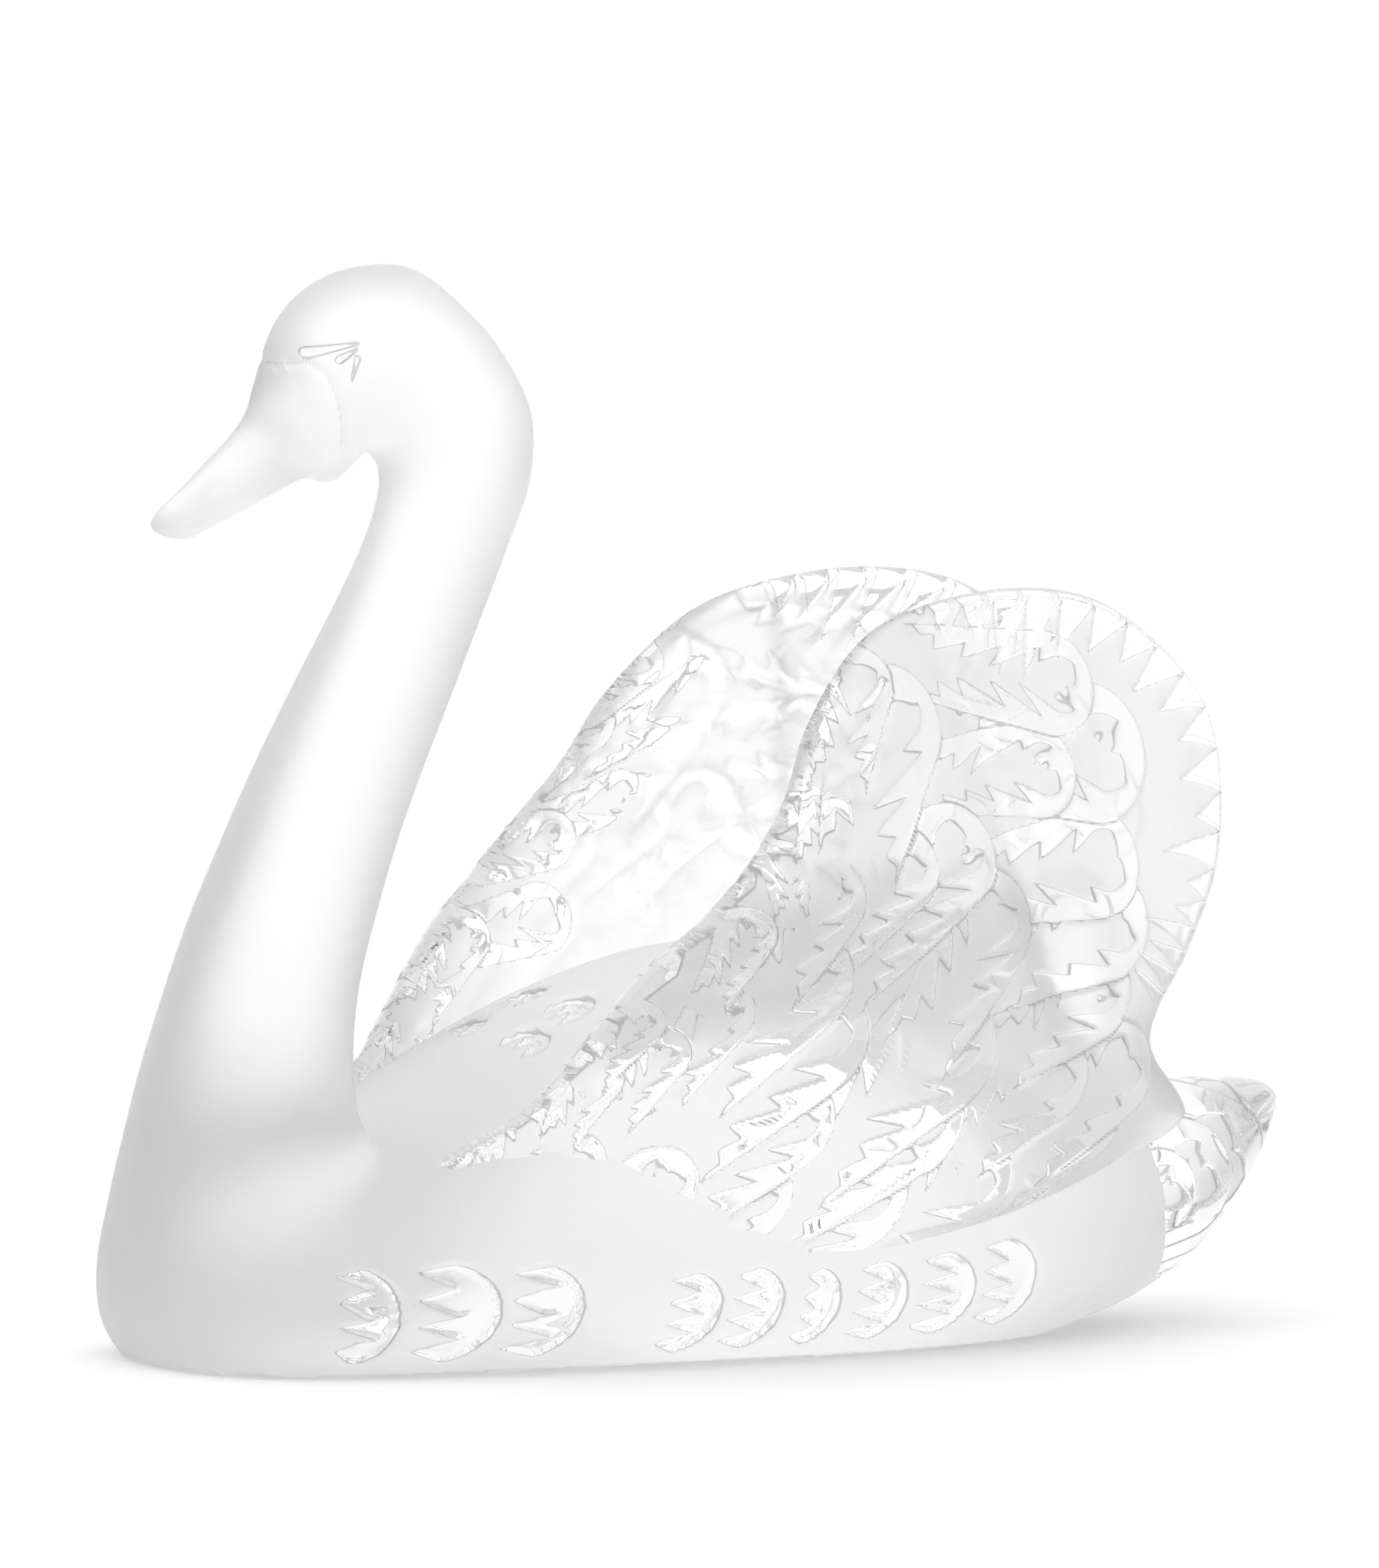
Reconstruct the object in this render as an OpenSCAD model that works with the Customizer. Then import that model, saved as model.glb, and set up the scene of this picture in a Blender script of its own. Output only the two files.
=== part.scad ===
// Swan figurine, solid cast crystal.
// The swan faces -X and stands on its ground flat base, +Z up.
// The origin lies on the base plane, under the middle of the overall box.

/* [Figure] */
// Overall height, from the base to the crown of the head
figure_h = 241; // [200:1:280]
// Overall length, from the breast to the tip of the tail
figure_l = 280; // [240:1:320]
// Overall width across the wings
figure_w = 160; // [140:1:180]

/* [Neck and bill] */
// Side-to-side thickness of the neck at its slimmest
neck_w = 32; // [28:1:36]
// Width of the bill where it leaves the head
bill_w = 20; // [16:1:22]

/* [Wings] */
// Half the distance between the two wing rims at their highest points
rim_half_gap = 42; // [38:1:48]
// Thickness of the glass wall of a wing near its rim
rim_wall = 8; // [6:0.5:10]
// How far in from its edge a wing is rounded over
edge_round = 8; // [5:0.5:10]

/* [Tail] */
// Width of the tail fan at its root
tail_w = 52; // [44:1:56]

/* [Base] */
// Depth ground off the foot to make the flat base
foot_cut = 0; // [0:0.5:3]

/* [Facets] */
// Points round each cross-section
ring_n = 48; // [32:4:60]
// Rings between two neighbouring stations of the lines plan
ring_steps = 3; // [2:1:3]

/* [Hidden] */
// Size that the lines plan below is drawn at
PLAN = [280, 160, 241];
// Middle of the plan's length, which becomes the origin
PLAN_MIDDLE = 0.8;
SIZE = [figure_l / PLAN[0], figure_w / PLAN[1], figure_h / PLAN[2]];
PLAN_NECK_W = 32;
PLAN_BILL_W = 20;
PLAN_TAIL_W = 52;

FROSTED = [0.93, 0.94, 0.95];
POLISHED = [0.80, 0.86, 0.90];

// Lines plan of the trunk, neck and head: one slice of glass per row, from the stern to
// the tip of the bill. Each slice stands square to the plane of symmetry, between a point
// on the back and a point on the belly or breast.
// [back x, back z, belly x, belly z, half width, share of the depth above the widest
//  line, fullness (2 is an ellipse)]
TRUNK = [
    [112, 42, 116.5, 10.5, 14, 0.50, 2.0],
    [101, 52, 103, 5, 28, 0.55, 2.2],
    [84, 63, 86, 0, 41, 0.60, 2.2],
    [58, 77, 60, -6, 54, 0.62, 2.2],
    [28, 87, 28, -8, 63, 0.62, 2.3],
    [-2, 88, -6, -8, 67, 0.60, 2.3],
    [-30, 80, -40, -8, 67, 0.58, 2.3],
    [-54, 68, -74, -8, 64, 0.55, 2.3],
    [-70, 58, -101, -8, 59, 0.55, 2.3],
    [-79, 52, -124, -6, 52, 0.55, 2.2],
    [-83, 49.5, -135, 3, 46, 0.55, 2.2],
    [-84, 52, -139, 17, 39, 0.55, 2.1],
    [-84.6, 56, -138, 34, 32.5, 0.52, 2.0],
    [-84.8, 61, -135.5, 48, 28, 0.50, 2.0]
];
NECK = [
    [-84.8, 68, -131.5, 65, 24, 0.50, 2.0],
    [-84, 76, -126.5, 81, 21.5, 0.50, 2.0],
    [-82.3, 85, -120.8, 97, 19.5, 0.50, 2.0],
    [-78.6, 98, -113.5, 113.5, 18.2, 0.50, 2.0],
    [-73.8, 113, -105.6, 130, 17.4, 0.50, 2.0],
    [-67.8, 128.5, -96.6, 147, 16.8, 0.50, 2.0],
    [-60.6, 145.5, -87, 164, 16.3, 0.50, 2.0],
    [-53.7, 162, -79.8, 177.5, 16, 0.50, 2.0],
    [-47, 178, -75.6, 188.5, 16, 0.50, 2.0],
    [-41.4, 193, -75.2, 195.5, 16.2, 0.50, 2.0]
];
HEAD = [
    [-41.2, 208.6, -77.8, 199.3, 16.6, 0.50, 2.0],
    [-49, 223, -80.4, 200, 17, 0.48, 2.0],
    [-58.6, 233, -83, 199, 17.6, 0.46, 2.0],
    [-69, 240.2, -85.2, 196.8, 18, 0.46, 2.0],
    [-80.6, 240.8, -88.7, 193.6, 18, 0.46, 2.1],
    [-90.8, 237.4, -91.9, 194, 17.2, 0.48, 2.1],
    [-98, 230.8, -95.6, 194.3, 15.6, 0.52, 2.1]
];
BILL = [
    [-101.9, 221.5, -99.9, 192.6, 13, 0.55, 2.2],
    [-105.2, 211.3, -104.8, 190.2, 10.8, 0.56, 2.3],
    [-109.8, 204.7, -110.4, 187.5, 9.8, 0.56, 2.4],
    [-116.5, 198.2, -116.8, 184.6, 9.2, 0.55, 2.4],
    [-122.4, 192.5, -122.4, 182, 8.6, 0.55, 2.4],
    [-126.6, 189, -126.2, 182, 7.2, 0.50, 2.3],
    [-129.2, 186.5, -128.6, 183, 4.4, 0.50, 2.0]
];
TAIL = [
    [140.8, 50, 140.8, 46, 5, 0.50, 2.0],
    [138, 52.7, 138.8, 42, 11, 0.42, 2.2],
    [132.5, 53.6, 134.3, 35.5, 16.5, 0.42, 2.4],
    [125, 53.4, 127.8, 27, 21, 0.45, 2.4],
    [115, 53, 120.4, 18, 24, 0.50, 2.4],
    [104, 53, 113, 11, 26, 0.50, 2.3],
    [92, 53, 106, 6.5, 26, 0.50, 2.2]
];

// Side outline of a wing, as [x, z], from the top of the groove that parts the coverts
// from the flight feathers, over the rear and round the tip, along the flank and up the
// front edge.
WING_EDGE = [
    [34, 165], [58, 168.5], [80, 165.5], [97, 155], [108.5, 141], [110.5, 124],
    [105.3, 105], [94.6, 87], [84.2, 69], [96, 51], [77, 41], [55, 32],
    [36, 26.5], [15, 21], [-8, 17], [-30, 17.5], [-50, 22], [-58, 30],
    [-67, 39], [-80, 46], [-61.5, 59], [-39, 87], [-25, 101], [-7, 123],
    [2, 140], [17, 157]
];
// Place in WING_EDGE of the groove's lower end
GROOVE_FOOT = 11;
// Middle of the fan that the wing is laid out on
WING_EYE = [57, 72];
// Half width of the wings' outer faces at each height, as [z, y]
OUTER_Y = [[0, 54], [15, 62], [35, 71], [60, 77], [85, 79.5], [105, 76.5], [125, 68],
    [142, 60], [157, 53], [172, rim_half_gap + rim_wall / 2]];
// How much of that half width the wings have at each place along the body, as [x, share]
PLAN_SHARE = [[-90, 0.60], [-63, 0.74], [-39, 0.89], [-20, 0.97], [0, 1], [20, 1],
    [45, 0.97], [65, 0.92], [85, 0.82], [100, 0.73], [114, 0.62]];
// Thickness of a wing's wall at each height, as [z, thickness]
WALL_BY_HEIGHT = [[0, 24], [50, 40], [75, 34], [90, 25], [105, 17], [125, 13], [142, 11],
    [157, 10], [172, rim_wall]];
// The most that the wall may be at each place along the body, as [x, thickness]
WALL_BY_PLACE = [[-90, 9], [-63, 15], [-39, 26], [-15, 40], [40, 40], [65, 26],
    [85, 14], [100, 10], [114, 9]];
// Rings of the wing fan between its eye and its edge
WING_RINGS = 9;

// ---- curves -------------------------------------------------------------------------

function clamp(v, low, high) = min(max(v, low), high);

// Point at t (0 to 1) of the smooth curve from b to c, with neighbours a and d
function curve(a, b, c, d, t) =
    (2 * b + (c - a) * t + (2 * a - 5 * b + 4 * c - d) * t * t
    + (3 * b - a - 3 * c + d) * t * t * t) / 2;

// The rows of an open table, with steps - 1 smooth rows added between each two
function smooth_rows(rows, steps) = let (last = len(rows) - 1) [
    for (i = [0 : last - 1], j = [0 : steps - 1])
        curve(rows[max(i - 1, 0)], rows[i], rows[i + 1], rows[min(i + 2, last)], j / steps),
    rows[last]
];

// The same for a table that closes on itself
function smooth_loop(rows, steps) = let (n = len(rows)) [
    for (i = [0 : n - 1], j = [0 : steps - 1])
        curve(rows[(i + n - 1) % n], rows[i], rows[(i + 1) % n], rows[(i + 2) % n], j / steps)
];

// Slope of a table of [place, value] pairs at row i
function slope(table, i) =
    let (a = table[max(i - 1, 0)], b = table[min(i + 1, len(table) - 1)])
    (b[1] - a[1]) / (b[0] - a[0]);

// Row of the table that starts the interval holding v
function interval(table, v, i = 0) =
    (i >= len(table) - 2 || v < table[i + 1][0]) ? i : interval(table, v, i + 1);

// Smooth value of a table of [place, value] pairs at v
function read(table, v) =
    let (
        w = clamp(v, table[0][0], table[len(table) - 1][0]),
        i = interval(table, w),
        a = table[i],
        b = table[i + 1],
        span = b[0] - a[0],
        t = (w - a[0]) / span,
        from_a = slope(table, i) * span,
        from_b = slope(table, i + 1) * span
    )
    a[1] * (2 * t * t * t - 3 * t * t + 1) + from_a * (t * t * t - 2 * t * t + t)
    + b[1] * (3 * t * t - 2 * t * t * t) + from_b * (t * t * t - t * t);

// ---- solids of stacked slices -----------------------------------------------------------

// Outline of one slice: two half superellipses that meet at its widest line
function slice(row, width_scale) = [
    for (k = [0 : ring_n - 1])
        let (
            angle = 360 * k / ring_n,
            power = 2 / row[6],
            up = sign(cos(angle)) * pow(abs(cos(angle)), power),
            out = sign(sin(angle)) * pow(abs(sin(angle)), power),
            depth = up > 0 ? row[5] * (1 - up) : row[5] - (1 - row[5]) * up
        )
        [
            SIZE[0] * (row[0] + (row[2] - row[0]) * depth - PLAN_MIDDLE),
            SIZE[1] * width_scale * row[4] * out,
            SIZE[2] * (row[1] + (row[3] - row[1]) * depth)
        ]
];

// Closed solid through a list of slices, which run towards -X
module skin(slices) {
    n = len(slices[0]);
    last = len(slices) - 1;
    walls = [
        for (i = [0 : last - 1], k = [0 : n - 1])
            let (a = i * n + k, b = i * n + (k + 1) % n)
            each [[b, a, a + n], [b, a + n, b + n]]
    ];
    ends = [
        [for (k = [0 : n - 1]) k],
        [for (k = [n - 1 : -1 : 0]) last * n + k]
    ];
    polyhedron([for (ring = slices) each ring], concat(walls, ends));
}

// Rows of the whole run from the stern to the bill, and the rows of one stretch of it
RUN = smooth_rows(concat(TRUNK, NECK, HEAD, BILL), ring_steps);
NECK_START = len(TRUNK) * ring_steps;
HEAD_START = NECK_START + len(NECK) * ring_steps;
BILL_START = HEAD_START + len(HEAD) * ring_steps;

function stretch(first, last, width_scale) =
    [for (i = [first : last]) slice(RUN[i], width_scale)];

// ---- trunk, neck and head ---------------------------------------------------------------

module trunk_solid() {
    skin(stretch(0, NECK_START, 1));
}

module body() {
    color(FROSTED)
        difference() {
            trunk_solid();
            translate([-figure_l, -figure_w, foot_cut - figure_h])
                cube([2 * figure_l, 2 * figure_w, figure_h]);
        }
}

module neck() {
    widths = [
        for (i = [NECK_START : HEAD_START])
            let (t = clamp((i - NECK_START) / (3 * ring_steps), 0, 1))
            1 + (neck_w / PLAN_NECK_W - 1) * t
    ];
    color(FROSTED)
        skin([for (i = [NECK_START : HEAD_START]) slice(RUN[i], widths[i - NECK_START])]);
}

module head() {
    color(FROSTED)
        skin([
            for (i = [HEAD_START : BILL_START])
                let (t = (i - HEAD_START) / (BILL_START - HEAD_START))
                slice(RUN[i], (1 - t) * neck_w / PLAN_NECK_W + t * bill_w / PLAN_BILL_W)
        ]);
}

module bill() {
    color(FROSTED)
        skin(stretch(BILL_START, len(RUN) - 1, bill_w / PLAN_BILL_W));
}

// ---- tail -------------------------------------------------------------------------------

module tail() {
    color(POLISHED)
        difference() {
            skin([for (row = smooth_rows(TAIL, ring_steps)) slice(row, tail_w / PLAN_TAIL_W)]);
            trunk_solid();
        }
}

// ---- wings ------------------------------------------------------------------------------

EDGE = smooth_loop(WING_EDGE, ring_steps);
GROOVE_AT = GROOVE_FOOT * ring_steps;

// Smaller of two thicknesses, with a soft change from one to the other
function softer_min(a, b) = pow(pow(a, -4) + pow(b, -4), -1 / 4);

// Point of a wing, from a place along its edge, a share of the way out from the eye to
// the edge, and face: 1 on the outer face and -1 on the inner face
function wing_point(place, share, face) =
    let (
        edge = EDGE[place % len(EDGE)],
        spot = WING_EYE + share * (edge - WING_EYE),
        outer = read(OUTER_Y, spot[1]) * read(PLAN_SHARE, spot[0]),
        wall = softer_min(read(WALL_BY_HEIGHT, spot[1]), read(WALL_BY_PLACE, spot[0])),
        inset = clamp((1 - share) * norm(edge - WING_EYE) / edge_round, 0, 1),
        swell = sqrt(1 - (1 - inset) * (1 - inset)),
        y = outer - wall / 2 + face * swell * wall / 2
    )
    [SIZE[0] * (spot[0] - PLAN_MIDDLE), SIZE[1] * y, SIZE[2] * spot[1]];

// One run across a wing, from the eye over the edge and back to the eye
function wing_rib(place) = [
    for (k = [0 : WING_RINGS]) wing_point(place, sin(90 * k / WING_RINGS), 1),
    for (k = [WING_RINGS - 1 : -1 : 0]) wing_point(place, sin(90 * k / WING_RINGS), -1)
];

// Sector of the wing fan between two places on its edge, on the +Y side
module wing_sector(first, last) {
    ribs = [for (place = [first : last]) wing_rib(place)];
    n = len(ribs[0]);
    count = len(ribs);
    eye_outer = 0;
    eye_inner = n - 1;
    walls = [
        for (i = [0 : count - 2], k = [0 : n - 2])
            let (a = i * n + k, b = a + n)
            each (k == 0
                ? [[eye_outer, b + 1, a + 1]]
                : k == n - 2
                    ? [[a, b, eye_inner]]
                    : [[a, b, a + 1], [b, b + 1, a + 1]])
    ];
    start_face = [for (k = [0 : n - 1]) k];
    end_face = [
        eye_inner,
        for (k = [n - 2 : -1 : 1]) (count - 1) * n + k,
        eye_outer
    ];
    polyhedron([for (rib = ribs) each rib], concat(walls, [start_face, end_face]));
}

module wing_piece(first, last, side) {
    color(POLISHED)
        difference() {
            scale([1, side, 1]) wing_sector(first, last);
            trunk_solid();
        }
}

module left_wing_coverts() {
    wing_piece(GROOVE_AT, len(EDGE), -1);
}

module left_wing_flight() {
    wing_piece(0, GROOVE_AT, -1);
}

module right_wing_coverts() {
    wing_piece(GROOVE_AT, len(EDGE), 1);
}

module right_wing_flight() {
    wing_piece(0, GROOVE_AT, 1);
}

body();
neck();
head();
bill();
tail();
left_wing_coverts();
left_wing_flight();
right_wing_coverts();
right_wing_flight();
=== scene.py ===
# %% [markdown]
# # A cast crystal swan
#
# The figurine is one block of colourless lead crystal: satin on the neck, head and body,
# and cut into layered feathers on the wings and the tail. This lesson loads the packed
# model as a fixed frame and models every glass piece again, at the detail that the
# cutter's wheel leaves, in the same place and at the same size.

# %% The frame
import math

import bmesh
import bpy
import numpy as np
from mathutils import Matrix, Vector


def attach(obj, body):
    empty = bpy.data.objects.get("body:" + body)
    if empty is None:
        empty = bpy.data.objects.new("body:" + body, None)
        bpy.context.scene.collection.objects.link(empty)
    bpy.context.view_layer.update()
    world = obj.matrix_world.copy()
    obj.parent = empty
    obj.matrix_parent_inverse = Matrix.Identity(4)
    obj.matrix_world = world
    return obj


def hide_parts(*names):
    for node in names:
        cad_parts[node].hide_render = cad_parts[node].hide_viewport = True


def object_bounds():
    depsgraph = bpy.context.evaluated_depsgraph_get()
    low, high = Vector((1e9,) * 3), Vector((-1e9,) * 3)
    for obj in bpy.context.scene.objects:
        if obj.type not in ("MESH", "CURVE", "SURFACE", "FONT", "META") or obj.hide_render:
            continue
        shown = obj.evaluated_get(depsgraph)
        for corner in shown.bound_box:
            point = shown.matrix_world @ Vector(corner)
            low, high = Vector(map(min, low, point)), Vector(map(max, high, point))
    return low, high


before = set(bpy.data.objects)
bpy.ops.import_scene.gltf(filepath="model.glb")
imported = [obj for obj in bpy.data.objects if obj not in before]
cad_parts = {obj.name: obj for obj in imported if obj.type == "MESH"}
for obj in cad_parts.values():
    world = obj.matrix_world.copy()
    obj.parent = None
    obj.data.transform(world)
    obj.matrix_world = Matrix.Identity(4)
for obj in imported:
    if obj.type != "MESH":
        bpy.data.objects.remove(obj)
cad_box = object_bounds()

print("frame box", cad_box)

# %% [markdown]
# The lines plan is drawn in millimetres. It is scaled to the frame's box, so the glass
# always has the frame's size, and everything in Blender is in metres.

# %% Scale from the plan to the frame
PLAN_LENGTH, PLAN_WIDTH, PLAN_HEIGHT = 279.9, 159.5, 241.1
PLAN_MIDDLE = 0.8
low, high = np.array(cad_box[0]), np.array(cad_box[1])
scale = (high - low) / np.array([PLAN_LENGTH, PLAN_WIDTH, PLAN_HEIGHT])
print("metres per plan millimetre", scale)


def to_frame(points):
    """Plan millimetres to frame metres."""
    moved = np.array(points, float)
    moved[:, 0] -= PLAN_MIDDLE
    return moved * scale


def to_plan(points):
    """Frame metres to plan millimetres."""
    moved = np.array(points, float) / scale
    moved[:, 0] += PLAN_MIDDLE
    return moved


# %% [markdown]
# A cast figurine starts as a clay model with smooth, swelling forms. A few sections
# along the bird, joined by smooth curves, give the same forms. Each row is a section:
# back x and z, belly x and z, half width, share of the depth above the widest line,
# and fullness, where 2 is an ellipse. Polygons pulled by hand would be lumpier.

# %% Lines plan of the trunk, neck, head, bill and tail
TRUNK = [
    [112, 42, 116.5, 10.5, 14, 0.5, 2],
    [101, 52, 103, 5, 28, 0.55, 2.2],
    [84, 63, 86, 0, 41, 0.6, 2.2],
    [58, 77, 60, -6, 54, 0.62, 2.2],
    [28, 87, 28, -8, 63, 0.62, 2.3],
    [-2, 88, -6, -8, 67, 0.6, 2.3],
    [-30, 80, -40, -8, 67, 0.58, 2.3],
    [-54, 68, -74, -8, 64, 0.55, 2.3],
    [-70, 58, -101, -8, 59, 0.55, 2.3],
    [-79, 52, -124, -6, 52, 0.55, 2.2],
    [-83, 49.5, -135, 3, 46, 0.55, 2.2],
    [-84, 52, -139, 17, 39, 0.55, 2.1],
    [-84.6, 56, -138, 34, 32.5, 0.52, 2],
    [-84.8, 61, -135.5, 48, 28, 0.5, 2],
]
NECK = [
    [-84.8, 68, -131.5, 65, 24, 0.5, 2],
    [-84, 76, -126.5, 81, 21.5, 0.5, 2],
    [-82.3, 85, -120.8, 97, 19.5, 0.5, 2],
    [-78.6, 98, -113.5, 113.5, 18.2, 0.5, 2],
    [-73.8, 113, -105.6, 130, 17.4, 0.5, 2],
    [-67.8, 128.5, -96.6, 147, 16.8, 0.5, 2],
    [-60.6, 145.5, -87, 164, 16.3, 0.5, 2],
    [-53.7, 162, -79.8, 177.5, 16, 0.5, 2],
    [-47, 178, -75.6, 188.5, 16, 0.5, 2],
    [-41.4, 193, -75.2, 195.5, 16.2, 0.5, 2],
]
HEAD = [
    [-41.2, 208.6, -77.8, 199.3, 16.6, 0.5, 2],
    [-49, 223, -80.4, 200, 17, 0.48, 2],
    [-58.6, 233, -83, 199, 17.6, 0.46, 2],
    [-69, 240.2, -85.2, 196.8, 18, 0.46, 2],
    [-80.6, 240.8, -88.7, 193.6, 18, 0.46, 2.1],
    [-90.8, 237.4, -91.9, 194, 17.2, 0.48, 2.1],
    [-98, 230.8, -95.6, 194.3, 15.6, 0.52, 2.1],
]
BILL = [
    [-101.9, 221.5, -99.9, 192.6, 13, 0.55, 2.2],
    [-105.2, 211.3, -104.8, 190.2, 10.8, 0.56, 2.3],
    [-109.8, 204.7, -110.4, 187.5, 9.8, 0.56, 2.4],
    [-116.5, 198.2, -116.8, 184.6, 9.2, 0.55, 2.4],
    [-122.4, 192.5, -122.4, 182, 8.6, 0.55, 2.4],
    [-126.6, 189, -126.2, 182, 7.2, 0.5, 2.3],
    [-129.2, 186.5, -128.6, 183, 4.4, 0.5, 2],
]
TAIL = [
    [140.8, 50, 140.8, 46, 5, 0.5, 2],
    [138, 52.7, 138.8, 42, 11, 0.42, 2.2],
    [132.5, 53.6, 134.3, 35.5, 16.5, 0.42, 2.4],
    [125, 53.4, 127.8, 27, 21, 0.45, 2.4],
    [115, 53, 120.4, 18, 24, 0.5, 2.4],
    [104, 53, 113, 11, 26, 0.5, 2.3],
    [92, 53, 106, 6.5, 26, 0.5, 2.2],
]


def smooth_rows(rows, step_counts):
    """Catmull-Rom curve through an open table, one step count for each interval."""
    rows = np.array(rows, float)
    last = len(rows) - 1
    out = []
    for i in range(last):
        a, b = rows[max(i - 1, 0)], rows[i]
        c, d = rows[i + 1], rows[min(i + 2, last)]
        for j in range(step_counts[i]):
            t = j / step_counts[i]
            out.append(
                (2 * b + (c - a) * t + (2 * a - 5 * b + 4 * c - d) * t * t
                 + (3 * b - a - 3 * c + d) * t**3) / 2
            )
    out.append(rows[last])
    return np.array(out)


def smooth_loop(rows, steps):
    """The same for a table that closes on itself."""
    rows = np.array(rows, float)
    n = len(rows)
    out = []
    for i in range(n):
        a, b, c, d = rows[i - 1], rows[i], rows[(i + 1) % n], rows[(i + 2) % n]
        for j in range(steps):
            t = j / steps
            out.append(
                (2 * b + (c - a) * t + (2 * a - 5 * b + 4 * c - d) * t * t
                 + (3 * b - a - 3 * c + d) * t**3) / 2
            )
    return np.array(out)


def read(table, value):
    """Smooth value of a table of [place, value] pairs."""
    xs = np.array([row[0] for row in table], float)
    ys = np.array([row[1] for row in table], float)
    ends = np.clip(np.arange(len(xs))[:, None] + [-1, 1], 0, len(xs) - 1)
    slopes = (ys[ends[:, 1]] - ys[ends[:, 0]]) / (xs[ends[:, 1]] - xs[ends[:, 0]])
    v = np.clip(value, xs[0], xs[-1])
    i = np.clip(np.searchsorted(xs, v, side="right") - 1, 0, len(xs) - 2)
    span = xs[i + 1] - xs[i]
    t = (v - xs[i]) / span
    return (
        ys[i] * (2 * t**3 - 3 * t**2 + 1) + slopes[i] * span * (t**3 - 2 * t**2 + t)
        + ys[i + 1] * (3 * t**2 - 2 * t**3) + slopes[i + 1] * span * (t**3 - t**2)
    )


def step_between(low_edge, high_edge, value):
    """0 below low_edge, 1 above high_edge, and smooth between."""
    t = np.clip((value - low_edge) / (high_edge - low_edge), 0, 1)
    return t * t * (3 - 2 * t)


ALL_ROWS = TRUNK + NECK + HEAD + BILL
print("sections from stern to bill:", len(ALL_ROWS))

# %% [markdown]
# Every cast form is a tube of sections: a flat grid, rolled up by moving its vertices,
# with its seam welded and its ends closed. The ends where two parts of the one casting
# meet get a second material that light crosses without bending, because there is no
# surface inside the real block.

# %% Rolling a grid into a closed form
GLASS, JOIN = 0, 1


def ring_points(row, around):
    """Points of one section, from the back round to the +Y side, the belly and home."""
    angle = np.linspace(0, 2 * math.pi, around + 1)
    power = 2 / row[6]
    up = np.sign(np.cos(angle)) * np.abs(np.cos(angle)) ** power
    out = np.sign(np.sin(angle)) * np.abs(np.sin(angle)) ** power
    depth = np.where(up > 0, row[5] * (1 - up), row[5] - (1 - row[5]) * up)
    return np.stack(
        [row[0] + (row[2] - row[0]) * depth, row[4] * out,
         row[1] + (row[3] - row[1]) * depth], axis=1
    )


def grid(columns, rows):
    """A bmesh grid of columns by rows faces, and the column and row of each vertex."""
    bm = bmesh.new()
    bmesh.ops.create_grid(bm, x_segments=columns, y_segments=rows, size=1)
    places = np.array([v.co[:2] for v in bm.verts])
    column = np.rint((places[:, 0] + 1) / 2 * columns).astype(int)
    row = np.rint((places[:, 1] + 1) / 2 * rows).astype(int)
    return bm, column, row


def roll(rows, around):
    """A closed form through a table of sections, in plan millimetres."""
    rings = np.array([ring_points(row, around) for row in rows])
    bm, column, row = grid(around, len(rows) - 1)
    for vertex, place in zip(bm.verts, rings[row, column % around]):
        vertex.co = place
    seam = [v for v, c in zip(bm.verts, column) if c in (0, around)]
    bmesh.ops.remove_doubles(bm, verts=seam, dist=1e-4)
    open_edges = [e for e in bm.edges if e.is_boundary]
    closed = bmesh.ops.holes_fill(bm, edges=open_edges, sides=0)
    for face in closed["faces"]:
        face.material_index = JOIN
    bmesh.ops.recalc_face_normals(bm, faces=bm.faces)
    return bm


def counts(rows, spacing):
    """Step counts that leave about the spacing between smooth sections."""
    gaps = []
    for a, b in zip(rows[:-1], rows[1:]):
        mid_a = np.array([a[0] + a[2], a[1] + a[3]]) / 2
        mid_b = np.array([b[0] + b[2], b[1] + b[3]]) / 2
        gaps.append(max(2, int(round(np.hypot(*(mid_b - mid_a)) / spacing))))
    return gaps


TRUNK_PITCH, FINE_PITCH = 1.3, 0.8
trunk_steps = counts(ALL_ROWS, TRUNK_PITCH)
neck_at = sum(trunk_steps[:len(TRUNK)])
fine_steps = counts(ALL_ROWS, FINE_PITCH)
fine_neck_at = sum(fine_steps[:len(TRUNK)])
head_at = sum(fine_steps[:len(TRUNK + NECK)])
bill_at = sum(fine_steps[:len(TRUNK + NECK + HEAD)])
trunk_rows = smooth_rows(ALL_ROWS, trunk_steps)[:neck_at + 1]
fine_rows = smooth_rows(ALL_ROWS, fine_steps)
print("trunk sections", len(trunk_rows), "fine sections", len(fine_rows))

# %% [markdown]
# The cutter works each feather in three passes. The wheel first lowers the glass
# behind the rounded tip, so that each feather stands proud of the next. A narrower
# wheel then sinks a bright band just inside the tip, and its edge nicks the satin
# web into barbs. A feather here is a tapered capsule on the side view of the bird:
# tip x and z, direction in degrees, width and length. Height and polish are worked
# out from the distance to its outline. Separate feather solids would leave gaps that
# a single casting doesn't have.

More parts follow.
